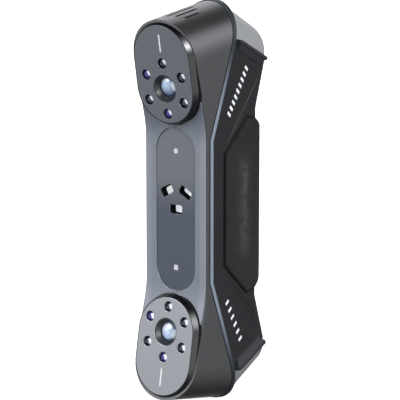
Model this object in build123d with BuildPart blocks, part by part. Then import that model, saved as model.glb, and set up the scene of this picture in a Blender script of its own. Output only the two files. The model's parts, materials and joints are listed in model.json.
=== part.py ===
from build123d import *
from math import cos, sin, tan, radians
import os

# Handheld 3-D scanner: two toed-in stereo camera heads joined by a waist that is held in one hand.
# Frame: origin at the centre of the bounding box, +Z along the body (upright in use), the cameras look
# along -Y, +X is the scanner's right as seen from the front.  Depths are counted from the front face
# of the waist, towards the back, and turned into Y by y().

os.makedirs("parts", exist_ok=True)

# ---------------------------------------------------------------- driving dimensions (millimetres)
WAIST_FRONT_Y = -21.957        # Y of the waist's front face
TILT = 9.8                     # toe-in of each camera head, degrees
BEND_Z = 44.0                  # height where the front face bends into the heads
FRONT_TILT = 13.5              # slope of the heads' front face around the camera plates, degrees
BEND_BLEND = 7.0               # the bend is rounded this far either side of BEND_Z
LENS_Z = 65.5                  # height of each camera lens axis on its plate
LENS_DEPTH = -8.4              # depth of the camera plate at the lens
END_V = 15.6                   # lens to the centre of the plate's outer arc
WAIST_HALF = 21.1              # half width of the waist
HEAD_HALF = 21.4               # half width (and end radius) of the heads
WALL = 2.0                     # moulded wall
SEAM_DEPTH = 3.1               # front of the seam at the waist
GASKET = 0.4                   # black seal under the trim band
BAND = 2.3                     # steel-blue trim band
SEAM_Z = 38.2                  # the seam runs straight below this height
SEAM_TILT = 20.0               # seam inclination over the heads, degrees
PLATE_R = 18.6                 # camera plate end radius
RIM_R = 20.6                   # gloss rim outer radius
PLATE_T = 1.6                  # camera plate thickness
LED_RING_R = 13.7              # LED circle radius
LED_R = 2.8                    # LED lens radius
BORE_R = 7.5                   # lens bore radius in the plate
GLASS_R = 5.3                  # front lens radius
BEZEL_T = 0.8                  # bezel thickness
BEZEL_HALF = 20.6              # bezel half width
PANEL_HALF = 13.1              # centre panel half width
PANEL_HALF_L = 44.0            # centre panel half length
WINDOW_X = 6.3                 # laser windows, offset from the centre line
WINDOW_Z = 9.7                 # laser windows, above the colour camera window
WINDOW_TURN = 30.0             # laser windows, lean in the panel, degrees
HOOD_TILT = 28.0               # slope of the rear caps, degrees
LIP_TILT = 26.0                # slope of the guard lips, degrees
LIP_START = (24.3, 91.1)       # depth and height of the lip's top edge at its front end
LIP_HALF = 24.3                # half width over the lips
LIP_T = 1.4                    # lip rim thickness
FLARE = 4.2                    # height of the flare under the lip
BACK_WAIST = 49.8              # depth of the cover's back at the waist
BACK_HEAD = 57.0               # depth of the cover's back at the lips
BACK_CAP = 58.2                # depth of the caps' back
DIP_Z = 52.0                   # height where the back starts to slope out to the lips
CORNER_R = 12.0                # rear corner radius in plan
GRIP_BACK = 52.8               # depth of the grip pad's back
GRIP_FRONT = 14.3              # depth of the grip pad's front edge
GRIP_PROUD = 0.9               # grip pad proud of the cover's sides
BUTTON_FIT = 0.07              # radial clearance of the buttons in the control panel
CHASSIS_FRONT = 16.5           # optical chassis plate
CHASSIS_BACK = 19.5
POST_SCREW_X = 16.0            # chassis screws into the front shell
POST_SCREW_Z = 28.0
SCREW_R = 1.2                  # M2.4 screws of the housing and the camera blocks
SMALL_SCREW_R = 1.0            # M2 screws of the board and the fan
HOLE_FIT = 0.05                # radial clearance of screw holes
CASE_SCREW_X = 10.5            # case screws join the rear cover to the chassis
CASE_SCREW_Z = 44.0

SEAM_BACK = SEAM_DEPTH + GASKET + BAND
SEAM_SLOPE = tan(radians(SEAM_TILT))
FRONT_SLOPE = tan(radians(FRONT_TILT))
FAR = 140.0                    # larger than the scanner, for cutting slabs
SIDES = {"top": 1, "bottom": -1}


def y(depth):
    """Y of a depth behind the waist's front face."""
    return WAIST_FRONT_Y + depth


def front_plane(depth):
    """Plane facing forward at a depth, with local X to the right and local Y up."""
    return Plane.XZ.offset(-y(depth))


def head_plane(side, back=0.0):
    """Plane of a camera plate, shifted back along its normal; local Y points to the outer end."""
    normal = (0, -cos(radians(TILT)), -side * sin(radians(TILT)))
    plane = Plane(origin=(0, y(LENS_DEPTH), side * LENS_Z), x_dir=(side, 0, 0), z_dir=normal)
    return plane.offset(-back)


def seam_at(z, depth):
    """Depth of a seam line at height z, for the line that is at the given depth on the waist."""
    return depth + max(abs(z) - SEAM_Z, 0) * SEAM_SLOPE


def seam_points(depth, reach=120.0):
    """Side-view points of a seam line, from the bottom to the top."""
    heights = (-reach, -SEAM_Z, SEAM_Z, reach)
    return [(y(seam_at(z, depth)), z) for z in heights]


def bezel_plane_depth(z, depth=0.0):
    """Depth of the front face at height z: flat waist, rounded bend, then toed-in heads."""
    run = abs(z) - BEND_Z
    if run >= BEND_BLEND:
        return depth - run * FRONT_SLOPE
    return depth - max(run + BEND_BLEND, 0) ** 2 * FRONT_SLOPE / (4 * BEND_BLEND)


def body_outline(grow=0.0):
    """Prisms of the front outline: waist block and two tilted heads, grown by a margin."""
    with BuildSketch(Plane.XZ) as waist:
        Rectangle(2 * (WAIST_HALF + grow), 2 * (BEND_Z + 8))
    extrude(waist.sketch, amount=FAR, both=True)
    for side in SIDES.values():
        with BuildSketch(head_plane(side, 90)) as head:
            head_outline(grow)
        extrude(head.sketch, amount=120)


def head_outline(grow=0.0):
    """Outline of a head across its extrusion: tapered sides and a round outer end."""
    root = -30.0
    with BuildLine() as outline:
        left = Line((-WAIST_HALF - grow, root), (-HEAD_HALF - grow, -4))
        up = Line(left @ 1, (-HEAD_HALF - grow, END_V))
        arc = RadiusArc(up @ 1, (HEAD_HALF + grow, END_V), HEAD_HALF + grow)
        down = Line(arc @ 1, (HEAD_HALF + grow, -4))
        right = Line(down @ 1, (WAIST_HALF + grow, root))
        Line(right @ 1, left @ 0)
    make_face(outline.edges())


def side_slab(points):
    """Keeps what lies inside a side-view outline."""
    with BuildSketch(Plane.YZ) as slab:
        Polygon(*points, align=None)
    extrude(slab.sketch, amount=FAR, both=True, mode=Mode.INTERSECT)


def front_points(depth):
    """Side-view points of the front face at a depth, from the top to the bottom."""
    upper = [120.0] + [BEND_Z + BEND_BLEND * step / 4 for step in (4, 3, 2, 1, 0, -1, -2, -3, -4)]
    heights = upper + [-z for z in upper[::-1]]
    return [(y(bezel_plane_depth(z, depth)), z) for z in heights]


def plate_outline(radius):
    """Round-ended outline concentric with the lens, local coordinates of a head plane."""
    with Locations((0, END_V / 2)):
        SlotCenterToCenter(END_V, 2 * radius, rotation=90)


def grid_spots(half_x, half_z, radius, mode=Mode.ADD):
    """Four round spots at the corners of a rectangle."""
    with GridLocations(2 * half_x, 2 * half_z, 2, 2):
        Circle(radius, mode=mode)


def finish(builder, name):
    """Label a sub-part and write its STEP file."""
    builder.part.label = name
    export_step(builder.part, f"parts/{name}.step")


# ================================================================ front housing
SHELL_FRONT = 0.8              # depth of the front shell's face behind the bezel
POD_R = RIM_R - 2.0            # camera opening through the front shell
VENT_X = (-8.0, -4.0, 0.0, 4.0, 8.0)
VENT_LENGTHS = (13.4, 18.2, 22.5, 18.2, 13.4)
VENT_WIDTH = 1.6
VENT_BACK = 19.5               # vents' centre behind the top camera plate
POST_R = 2.6                   # screw posts reaching back to the chassis
POST_BORE = 7.5
OPENING_INSET = 1.5            # opening behind the centre panel, inside its straight sides
OPENING_END = 4.0              # the opening stops this far short of the panel's ends
OPENING_CORNER = 6.0
SPIGOT_GAP = 0.15              # panel spigot inside the opening
PANEL_GAP = 0.3                # gap around the centre panel


def shell_block(grow, front, back):
    """Solid part of the body between a front face depth and a seam line depth."""
    body_outline(grow)
    side_slab(front_points(front) + seam_points(back))


with BuildPart() as shell_inside:
    shell_block(-WALL, SHELL_FRONT + WALL, SEAM_DEPTH + 8)

with BuildPart() as shell_solid:
    shell_block(0, SHELL_FRONT, SEAM_DEPTH)

with BuildPart() as front_shell:
    add(shell_solid.part)
    add(shell_inside.part, mode=Mode.SUBTRACT)
    for side in SIDES.values():
        with BuildSketch(head_plane(side, 10)):
            plate_outline(POD_R)
        extrude(amount=20, mode=Mode.SUBTRACT)
    with BuildSketch(front_plane(SHELL_FRONT + WALL + 1)):
        RectangleRounded(2 * (PANEL_HALF - OPENING_INSET), 2 * (PANEL_HALF_L - OPENING_END), OPENING_CORNER)
    extrude(amount=WALL + 4, mode=Mode.SUBTRACT)
    with BuildSketch(front_plane(SHELL_FRONT)):
        SlotOverall(2 * (PANEL_HALF_L + PANEL_GAP), 2 * (PANEL_HALF + PANEL_GAP), rotation=90)
    extrude(amount=5, mode=Mode.SUBTRACT)
    vent_plane = Plane(head_plane(1, VENT_BACK).origin, x_dir=(1, 0, 0), z_dir=head_plane(1).y_dir)
    for x, length in zip(VENT_X, VENT_LENGTHS):
        with BuildSketch(vent_plane.offset(END_V)):
            with Locations((x, 0)):
                SlotOverall(length, VENT_WIDTH, rotation=90)
        extrude(amount=HEAD_HALF + 5, mode=Mode.SUBTRACT)
    with BuildSketch(front_plane(SHELL_FRONT + 0.5 * WALL)):
        grid_spots(POST_SCREW_X, POST_SCREW_Z, POST_R)
    extrude(amount=-(CHASSIS_FRONT - SHELL_FRONT - 0.5 * WALL))
    with BuildSketch(front_plane(CHASSIS_FRONT - POST_BORE)):
        grid_spots(POST_SCREW_X, POST_SCREW_Z, SCREW_R + HOLE_FIT)
    extrude(amount=-POST_BORE, mode=Mode.SUBTRACT)
finish(front_shell, "front_shell")

RIM_GAP = 0.35                 # shadow gap between bezel horns and rim

with BuildPart() as front_bezel:
    with BuildSketch(Plane.XZ):
        RectangleRounded(2 * BEZEL_HALF, 2 * (LENS_Z - 1), 8)
    extrude(amount=FAR, both=True)
    side_slab(front_points(0) + front_points(BEZEL_T)[::-1])
    for side in SIDES.values():
        with BuildSketch(head_plane(side, 10)):
            plate_outline(RIM_R + RIM_GAP)
        extrude(amount=20, mode=Mode.SUBTRACT)
    with BuildSketch(front_plane(BEZEL_T + 1)):
        SlotOverall(2 * (PANEL_HALF_L + PANEL_GAP), 2 * (PANEL_HALF + PANEL_GAP), rotation=90)
    extrude(amount=5, mode=Mode.SUBTRACT)
finish(front_bezel, "front_bezel")

WINDOW_L = 8.5
WINDOW_H = 5.0
WINDOW_CORNER = 1.2
MARK_Z = 31.6                  # indicator windows above and below the centre
PANEL_FRONT = 0.45
PANEL_BACK = 2.2
FLANGE = 0.6                   # flange behind each window
LIP_OVER = 0.6                 # how far a window's flange reaches past its opening
FIT = 0.04                     # clearance of glued-in windows
WELL_WALL = 0.6                # sleeve around the well in front of each window
WELL_BACK = 6.6                # depth of the wells' rear end
PANE_T = 1.0
MARK_SUNK = 0.1
MARK_R = 1.5


def laser_slots(grow=0.0):
    """Two slanted laser window outlines."""
    for side in (-1, 1):
        with Locations(Location((side * WINDOW_X, WINDOW_Z), -side * WINDOW_TURN)):
            RectangleRounded(WINDOW_L + 2 * grow, WINDOW_H + 2 * grow, WINDOW_CORNER + grow)


def colour_slot(grow=0.0):
    """Colour camera window outline."""
    RectangleRounded(WINDOW_L + 2 * grow, WINDOW_H + 2 * grow, WINDOW_CORNER + grow)


def mark_slots(grow=0.0):
    """Round and square indicator window outlines."""
    with Locations((0, MARK_Z)):
        Circle(MARK_R + grow)
    with Locations((0, -MARK_Z)):
        RectangleRounded(2 * (MARK_R + grow), 2 * (MARK_R + grow), 0.5 + grow)


with BuildPart() as centre_panel:
    with BuildSketch(front_plane(PANEL_FRONT)):
        SlotOverall(2 * PANEL_HALF_L, 2 * PANEL_HALF, rotation=90)
    extrude(amount=-(SHELL_FRONT - PANEL_FRONT))
    with BuildSketch(front_plane(SHELL_FRONT)):
        RectangleRounded(2 * (PANEL_HALF - OPENING_INSET - SPIGOT_GAP),
                         2 * (PANEL_HALF_L - OPENING_END - SPIGOT_GAP), OPENING_CORNER - SPIGOT_GAP)
    extrude(amount=-(PANEL_BACK - SHELL_FRONT))
    with BuildSketch(front_plane(SHELL_FRONT)):
        laser_slots(WELL_WALL)
        colour_slot(WELL_WALL)
    extrude(amount=-(WELL_BACK - SHELL_FRONT))
    with BuildSketch(front_plane(PANEL_FRONT)):
        laser_slots()
        colour_slot()
        mark_slots()
    extrude(amount=-2 * WELL_BACK, mode=Mode.SUBTRACT)
finish(centre_panel, "centre_panel")

with BuildPart() as laser_windows:
    with BuildSketch(front_plane(WELL_BACK - PANE_T)):
        laser_slots(-FIT)
    extrude(amount=-PANE_T)
    with BuildSketch(front_plane(WELL_BACK)):
        laser_slots(LIP_OVER)
        with BuildSketch(mode=Mode.SUBTRACT):
            Rectangle(1.0, 40)
    extrude(amount=-FLANGE)
finish(laser_windows, "laser_windows")

with BuildPart() as colour_camera_window:
    with BuildSketch(front_plane(WELL_BACK - PANE_T)):
        colour_slot(-FIT)
    extrude(amount=-PANE_T)
    with BuildSketch(front_plane(WELL_BACK)):
        colour_slot(LIP_OVER)
    extrude(amount=-FLANGE)
finish(colour_camera_window, "colour_camera_window")

with BuildPart() as indicator_windows:
    with BuildSketch(front_plane(PANEL_FRONT + MARK_SUNK)):
        mark_slots(-FIT)
    extrude(amount=-(PANEL_BACK - PANEL_FRONT - MARK_SUNK))
    with BuildSketch(front_plane(PANEL_BACK)):
        mark_slots(LIP_OVER)
    extrude(amount=-FLANGE)
finish(indicator_windows, "indicator_windows")

# ================================================================ camera heads (one set per side)
RIM_CONE = 2.8                 # depth of the rim's slanted face
RIM_TAPER = 30.0               # its angle from the head's axis, degrees
RIM_BACK = 8.0                 # rim runs back at least to the shell's face
LEDGE_R = 17.2                 # rim ledge carrying the plate
LENS_CAP_T = 0.6               # flange of an LED lens behind the plate
LED_BOARD_T = 1.0
BOARD_T = 1.2                  # small circuit boards
LED_BOARD_FRONT = PLATE_T + LENS_CAP_T
LED_BOARD_BACK = LED_BOARD_FRONT + LED_BOARD_T
BARREL_R = 7.42
BARREL_BACK = 16.0
GLASS_SEAT = 4.6               # depth of the glass ledge in the barrel
SENSOR_BORE = 4.4
BLOCK_FRONT = 8.5
BLOCK_BACK = 20.0
PAD_FRONT = 22.5               # camera mounting pad of the chassis
PAD_BACK = 25.5
BLOCK_W = 30.0
BLOCK_H = 24.0
LEG_X = 13.0                   # camera screws, from the lens axis
LEG_W = 4.0
LED_DIE = 2.4                  # side of an LED package
PLATE_GAP = 0.15               # camera plate inside the rim


def led_spots(radius, grow=0.0):
    """LED positions around the lens."""
    with PolarLocations(LED_RING_R, 6, start_angle=30):
        Circle(radius + grow)


for side_name, side in SIDES.items():
    with BuildPart() as camera_rim:
        with BuildSketch(head_plane(side, RIM_BACK)):
            plate_outline(RIM_R)
        extrude(amount=RIM_BACK - RIM_CONE)
        with BuildSketch(head_plane(side, RIM_CONE)):
            plate_outline(RIM_R)
        extrude(amount=RIM_CONE, taper=RIM_TAPER)
        with BuildSketch(head_plane(side, PLATE_T)):
            plate_outline(PLATE_R + PLATE_GAP)
        extrude(amount=10, mode=Mode.SUBTRACT)
        with BuildSketch(head_plane(side, RIM_BACK + 1)):
            plate_outline(LEDGE_R)
        extrude(amount=10, mode=Mode.SUBTRACT)
        add(shell_solid.part, mode=Mode.SUBTRACT)
    finish(camera_rim, f"{side_name}_camera_rim")

    with BuildPart() as camera_plate:
        with BuildSketch(head_plane(side, PLATE_T)):
            plate_outline(PLATE_R)
            Circle(BORE_R, mode=Mode.SUBTRACT)
            with BuildSketch(mode=Mode.SUBTRACT):
                led_spots(LED_R)
        extrude(amount=PLATE_T)
    finish(camera_plate, f"{side_name}_camera_plate")

    with BuildPart() as led_lenses:
        with BuildSketch(head_plane(side, PLATE_T)):
            led_spots(LED_R, -0.05)
        extrude(amount=PLATE_T - 0.3)
        with BuildSketch(head_plane(side, LED_BOARD_FRONT)):
            led_spots(LED_R, 0.6)
        extrude(amount=LENS_CAP_T)
        with BuildSketch(head_plane(side, LED_BOARD_FRONT)):
            led_spots(LED_R, -0.6)
        extrude(amount=1.4, mode=Mode.SUBTRACT)
    finish(led_lenses, f"{side_name}_led_lenses")

    with BuildPart() as led_board:
        with BuildSketch(head_plane(side, LED_BOARD_BACK)):
            plate_outline(LEDGE_R - 0.2)
            Circle(BARREL_R + 0.3, mode=Mode.SUBTRACT)
        extrude(amount=LED_BOARD_T)
        with BuildSketch(head_plane(side, LED_BOARD_FRONT)):
            with PolarLocations(LED_RING_R, 6, start_angle=30):
                Rectangle(LED_DIE, LED_DIE)
        extrude(amount=0.9)
    finish(led_board, f"{side_name}_led_board")

    lens_axis_plane = head_plane(side)
    lens_profile_plane = Plane(origin=lens_axis_plane.origin, x_dir=lens_axis_plane.x_dir,
                               z_dir=-lens_axis_plane.y_dir)
    lens_axis = Axis(tuple(lens_axis_plane.origin), tuple(lens_axis_plane.z_dir))
    with BuildPart() as lens_barrel:
        with BuildSketch(lens_profile_plane):
            with BuildLine():
                Polyline((BARREL_R, -0.5), (7.0, -0.5), (GLASS_R + 0.3, -2.9), (GLASS_R + 0.03, -2.9),
                         (GLASS_R + 0.03, -GLASS_SEAT), (SENSOR_BORE, -GLASS_SEAT),
                         (SENSOR_BORE, -BARREL_BACK), (BARREL_R, -BARREL_BACK), close=True)
            make_face()
        revolve(axis=lens_axis)
    finish(lens_barrel, f"{side_name}_lens_barrel")

    with BuildPart() as lens_glass:
        with BuildSketch(lens_profile_plane):
            with BuildLine():
                ThreePointArc((0, -2.6), (3.2, -2.95), (GLASS_R, -3.7))
                Polyline((GLASS_R, -3.7), (GLASS_R, -GLASS_SEAT), (0, -GLASS_SEAT), (0, -2.6))
            make_face()
        revolve(axis=lens_axis)
    finish(lens_glass, f"{side_name}_lens_glass")

    with BuildPart() as camera_block:
        with BuildSketch(head_plane(side, BLOCK_BACK)):
            RectangleRounded(BLOCK_W, BLOCK_H, 1)
        extrude(amount=BLOCK_BACK - BLOCK_FRONT)
        with BuildSketch(head_plane(side, BLOCK_FRONT)):
            Circle(12.0)
        extrude(amount=BLOCK_FRONT - LED_BOARD_BACK)
        with BuildSketch(head_plane(side, PAD_FRONT)):
            with Locations((-LEG_X, 0), (LEG_X, 0)):
                Rectangle(LEG_W, BLOCK_H)
        extrude(amount=PAD_FRONT - BLOCK_BACK)
        with BuildSketch(head_plane(side, BARREL_BACK)):
            Circle(BARREL_R + 0.06)
        extrude(amount=20, mode=Mode.SUBTRACT)
        with BuildSketch(head_plane(side, PAD_FRONT)):
            Circle(SENSOR_BORE)
            with Locations((-LEG_X, 0), (LEG_X, 0)):
                Circle(SCREW_R + HOLE_FIT)
        extrude(amount=8, mode=Mode.SUBTRACT)
    finish(camera_block, f"{side_name}_camera_block")

    with BuildPart() as sensor_board:
        with BuildSketch(head_plane(side, BLOCK_BACK + BOARD_T)):
            Rectangle(20, 22)
        extrude(amount=BOARD_T)
        with BuildSketch(head_plane(side, BLOCK_BACK)):
            Rectangle(6.4, 5.0)
        extrude(amount=0.8)
    finish(sensor_board, f"{side_name}_sensor_board")

# ================================================================ seam
BAND_PROUD = 0.5
SEAL_PROUD = 0.15


def seam_ring(grow, front, back):
    """Closed ring between two seam lines, open in the middle."""
    body_outline(grow)
    side_slab(seam_points(front) + seam_points(back)[::-1])
    add(cavity.part, mode=Mode.SUBTRACT)


with BuildPart() as cavity:
    body_outline(-WALL)
    side_slab([(-FAR, -FAR), (-FAR, FAR), (FAR, FAR), (FAR, -FAR)])

with BuildPart() as seam_gasket:
    seam_ring(SEAL_PROUD, SEAM_DEPTH, SEAM_DEPTH + GASKET)
finish(seam_gasket, "seam_gasket")

with BuildPart() as seam_band:
    seam_ring(BAND_PROUD, SEAM_DEPTH + GASKET, SEAM_BACK)
finish(seam_band, "seam_band")

# ================================================================ rear housing
LIP_SLOPE = tan(radians(LIP_TILT))
LIP_BACK = 49.8                # depth of the lips' rear end
LIP_CORNER = 1.8
LIP_STEP = 0.4                 # flare starts inside the lip's edge
LIP_GAP = 1.9                  # lips start this far behind the seam
FLARE_ANGLE = 30.0
CAP_INSET = 0.6                # caps sit this much inside the seam outline
CAP_EDGE = 4.5                 # rounding of the caps' back


def lip_height(depth, drop=0.0):
    """Height of the lip's top plane at a depth, lowered by drop along the plane's normal."""
    return LIP_START[1] - (depth - LIP_START[0]) * LIP_SLOPE - drop / cos(radians(LIP_TILT))


def lip_plane(side, drop=0.0):
    """Lip plane facing the middle of the scanner, local X running backwards from the front end."""
    tilt = radians(LIP_TILT)
    normal = (0, -sin(tilt), -side * cos(tilt))
    plane = Plane(origin=(0, y(LIP_START[0]), side * LIP_START[1]),
                  x_dir=(0, cos(tilt), -side * sin(tilt)), z_dir=normal)
    return plane.offset(drop)


def lip_outline(inset=0.0):
    """Lip outline in its plane, wider than the cover so that a bar stands out on each side."""
    start = LIP_GAP + inset
    end = (LIP_BACK - LIP_START[0]) / cos(radians(LIP_TILT)) - inset
    with Locations(((start + end) / 2, 0)):
        RectangleRounded(end - start, 2 * (LIP_HALF - inset), LIP_CORNER)


def cover_points(back_inset=0.0, drop=0.0):
    """Side-view outline of the rear cover between the seam and the lips."""
    front = seam_points(SEAM_BACK)
    heights = (lip_height(BACK_HEAD - back_inset, drop), DIP_Z, -DIP_Z)
    depths = (BACK_HEAD - back_inset, BACK_WAIST - back_inset, BACK_WAIST - back_inset)
    back = [(y(d), z) for d, z in zip(depths, heights)]
    back.append((y(BACK_HEAD - back_inset), -heights[0]))
    start = seam_lip_point(drop)
    return [(y(start[0]), -start[1]), front[1], front[2], (y(start[0]), start[1])] + back


def seam_lip_point(drop=0.0):
    """Depth and height where the lip plane meets the rear seam line."""
    level = LIP_START[1] + LIP_START[0] * LIP_SLOPE - drop / cos(radians(LIP_TILT)) - SEAM_Z
    depth = (SEAM_BACK + level * SEAM_SLOPE) / (1 + LIP_SLOPE * SEAM_SLOPE)
    return depth, lip_height(depth, drop)


def plan_outline(grow, back, corner):
    """Plan view of the rear: straight sides and round rear corners."""
    half = HEAD_HALF + grow
    start = y(-60)
    with BuildLine() as outline:
        left = Line((-half, start), (-half, y(back) - corner))
        first = RadiusArc(left @ 1, (-half + corner, y(back)), corner)
        rear = Line(first @ 1, (half - corner, y(back)))
        second = RadiusArc(rear @ 1, (half, y(back) - corner), corner)
        right = Line(second @ 1, (half, start))
        Line(right @ 1, left @ 0)
    make_face(outline.edges())


def rear_limit(grow, back_inset, corner):
    """Space inside the rear corners, following the back from the waist out to the lips."""
    rise = lip_height(BACK_HEAD) - DIP_Z
    slope = (BACK_HEAD - BACK_WAIST) / rise
    with BuildPart() as limit:
        for side in SIDES.values():
            with BuildSketch(Plane.XY) as waist:
                plan_outline(grow, BACK_WAIST - back_inset, corner)
            extrude(waist.sketch, amount=side * DIP_Z)
            with BuildSketch(Plane.XY.offset(side * DIP_Z)) as head:
                plan_outline(grow, BACK_WAIST - back_inset, corner)
            extrude(head.sketch, amount=2.2 * rise, dir=(0, slope, side))
    return limit.part


rear_limit_outer = rear_limit(0, 0, CORNER_R)
rear_limit_inner = rear_limit(-WALL, WALL, CORNER_R - WALL)

BOSS_R = 4.0
CASE_HEAD_R = 2.4
CASE_HEAD_DEPTH = 30.0         # depth of the screw heads' seat
BUTTON_HOLE_R = 2.7
BUTTON_SPOTS = {"plus": (27.0, 3.6), "scan": (13.0, 5.6), "minus": (-1.0, 3.6)}
STATUS_Z = 36.5
STATUS_R = 0.95
BUTTON_BOARD_DEPTH = 44.4      # rear face of the button board
BOARD_POST_XZ = [(x, z) for x in (-5.5, 5.5) for z in (6.0, 20.0)]
COVER_INSIDE = BACK_WAIST - WALL


with BuildPart() as rear_inside:
    body_outline(-WALL)
    side_slab(cover_points(WALL, -10))
    add(rear_limit_inner, mode=Mode.INTERSECT)

with BuildPart() as lips:
    for side in SIDES.values():
        with BuildSketch(lip_plane(side)):
            lip_outline()
        extrude(amount=LIP_T)
        with BuildSketch(lip_plane(side, LIP_T)):
            lip_outline(LIP_STEP)
        extrude(amount=FLARE, taper=FLARE_ANGLE)

with BuildPart() as rear_filled:
    body_outline()
    side_slab(cover_points())
    add(rear_limit_outer, mode=Mode.INTERSECT)

with BuildPart() as rear_cover:
    add(rear_filled.part)
    add(lips.part)
    add(rear_inside.part, mode=Mode.SUBTRACT)
    with BuildSketch(front_plane(CHASSIS_BACK)):
        grid_spots(CASE_SCREW_X, CASE_SCREW_Z, BOSS_R)
    extrude(amount=-(COVER_INSIDE - CHASSIS_BACK + 0.3))
    with BuildSketch(front_plane(BACK_WAIST + 1)):
        grid_spots(CASE_SCREW_X, CASE_SCREW_Z, CASE_HEAD_R + 0.2)
    extrude(amount=BACK_WAIST + 1 - CASE_HEAD_DEPTH, mode=Mode.SUBTRACT)
    with BuildSketch(front_plane(BACK_WAIST + 1)):
        grid_spots(CASE_SCREW_X, CASE_SCREW_Z, SCREW_R + HOLE_FIT)
        for spot_z, radius in BUTTON_SPOTS.values():
            with Locations((0, spot_z)):
                Circle(BUTTON_HOLE_R)
        with Locations((0, STATUS_Z)):
            Circle(STATUS_R + BUTTON_FIT)
    extrude(amount=40, mode=Mode.SUBTRACT)
    with BuildSketch(front_plane(BUTTON_BOARD_DEPTH)):
        with Locations(*BOARD_POST_XZ):
            Circle(1.2)
    extrude(amount=-(COVER_INSIDE - BUTTON_BOARD_DEPTH + 0.5))
finish(rear_cover, "rear_cover")

HOOD_STRETCH = cos(radians(HOOD_TILT - SEAM_TILT)) / cos(radians(SEAM_TILT + TILT))
CAP_WALL = 1.8


def hood_plane(side):
    """Plane across a rear cap, centred on the outer arc where it meets the rear seam line."""
    s, c = sin(radians(TILT)), cos(radians(TILT))
    depth = LENS_DEPTH - END_V * s
    height = LENS_Z + END_V * c
    run = (SEAM_BACK + (height - SEAM_Z) * SEAM_SLOPE - depth) / (c - s * SEAM_SLOPE)
    hood = radians(HOOD_TILT)
    return Plane(origin=(0, y(depth + run * c), side * (height + run * s)), x_dir=(-side, 0, 0),
                 z_dir=(0, cos(hood), -side * sin(hood)))


def hood_outline(inset):
    """Rear cap outline across its slope: straight sides and an elliptical outer end."""
    half = HEAD_HALF - CAP_INSET - inset
    with BuildLine() as outline:
        left = Line((-half, -70), (-half, 0))
        EllipticalCenterArc((0, 0), half, HOOD_STRETCH * half, start_angle=0, arc_size=180)
        right = Line((half, 0), (half, -70))
        Line(right @ 1, left @ 0)
    make_face(outline.edges())


def cap_block(side, inset, front, drop):
    """Rear cap volume behind the seam and outside the lip plane."""
    with BuildSketch(hood_plane(side).offset(-60)) as hood:
        hood_outline(inset)
    extrude(hood.sketch, amount=130)
    start = seam_lip_point(drop)
    end = SEAM_BACK + (120 - SEAM_Z) * SEAM_SLOPE
    back = BACK_CAP - inset
    shift = front - SEAM_BACK
    points = [(y(start[0] + shift), side * start[1]), (y(end + shift), side * 120), (y(back), side * 120),
              (y(back), side * lip_height(back, drop))]
    side_slab(points)


def round_cap(side, inset):
    """Round the rear corners in plan and soften the edge of the cap's back."""
    with BuildSketch(Plane.XY) as plan:
        plan_outline(-CAP_INSET - inset, BACK_CAP - inset, CORNER_R - inset)
    extrude(plan.sketch, amount=side * 130, mode=Mode.INTERSECT)


def port_plane(drop=0.0):
    """Plane of the cable connector on the bottom cap, facing out, lowered into the cap by drop."""
    hood = hood_plane(-1)
    apex = HOOD_STRETCH * (HEAD_HALF - CAP_INSET)
    origin = hood.origin + hood.y_dir * apex + hood.z_dir * PORT_RUN
    return Plane(origin=origin, x_dir=(1, 0, 0), z_dir=hood.y_dir).offset(-drop)


PORT_RUN = 17.0                # connector's distance behind the seam, along the slope
PORT_FLOOR = 2.2               # flat recess around the connector
PORT_BLOCK_BACK = 8.4          # rear of the moulded block holding the connector
PORT_W = 9.0
PORT_H = 3.3
PORT_BOARD_Y = 1.7             # board's offset from the connector, clear of the tripod boss
PORT_BOARD_H = 6.0
LOCK_X = 7.6                   # cable lock screws beside the connector
LOCK_R = 0.8
TRIPOD_Z = -84.0
TRIPOD_R = 5.0
TRIPOD_FLANGE_R = 5.8
TRIPOD_FLANGE_T = 0.8
TRIPOD_L = 10.0
TRIPOD_THREAD_R = 2.55         # 1/4-20 internal thread, minor radius
INSERT_FIT = 0.03


def cap_solids(side):
    """Outer volume of a rear cap, and its hollow."""
    with BuildPart() as outside:
        cap_block(side, 0, SEAM_BACK, 0)
        round_cap(side, 0)
        crest_limit = lip_height(BACK_CAP) + 4
        crest = [e for e in outside.edges()
                 if e.center().Y > y(40) and e.center().Z * side > crest_limit]
        fillet(crest, CAP_EDGE)
    with BuildPart() as inside:
        cap_block(side, CAP_WALL, SEAM_BACK - 12, 12)
        round_cap(side, CAP_WALL)
    return outside.part, inside.part


cap_outside, cap_inside = cap_solids(1)
with BuildPart() as top_rear_cap:
    add(cap_outside)
    add(cap_inside, mode=Mode.SUBTRACT)
finish(top_rear_cap, "top_rear_cap")

with BuildPart() as cap_blocks:
    with BuildSketch(port_plane(PORT_BLOCK_BACK)):
        Rectangle(22, 10)
    extrude(amount=PORT_BLOCK_BACK + 2)
    with BuildSketch(front_plane(BACK_CAP - TRIPOD_L - 1)):
        with Locations((0, TRIPOD_Z)):
            Circle(8.0)
    extrude(amount=-(TRIPOD_L + 3))
    add(cap_outside.mirror(Plane.XY), mode=Mode.INTERSECT)

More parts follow.
